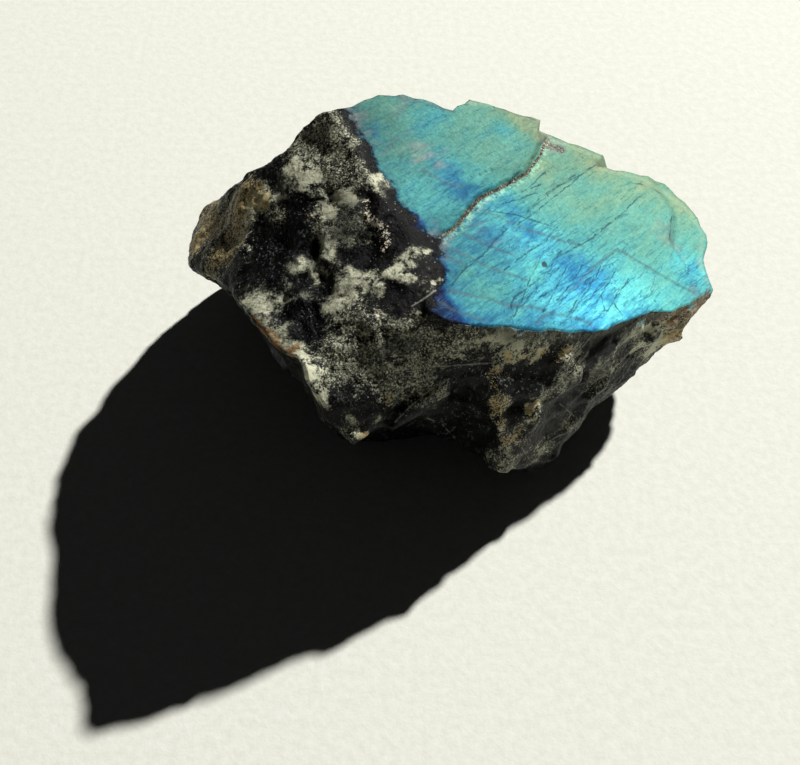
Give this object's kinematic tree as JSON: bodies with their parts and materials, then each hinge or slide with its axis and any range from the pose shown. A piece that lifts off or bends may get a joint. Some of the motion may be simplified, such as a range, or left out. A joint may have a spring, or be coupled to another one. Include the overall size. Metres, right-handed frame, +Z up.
{
  "type": "rough labradorite chunk",
  "caption": "Rough broken stone with a flat tilted cleavage face that flashes blue and green, dark speckled rock on its other sides and a flat base to rest on.",
  "frame": {"origin": "middle of the stone's outline seen from above, on the flat base it rests on", "axes": "+X along the stone's long side towards the thin tip of the cleavage face, +Y to the back, +Z up"},
  "size_m": [0.0784, 0.055, 0.0482],
  "materials": {
    "stone": "rough broken rock, with one glossy cleavage face that shines blue and green"
  },
  "bodies": {
    "root": {"labradorite_chunk": "stone"}
  },
  "joints": []
}
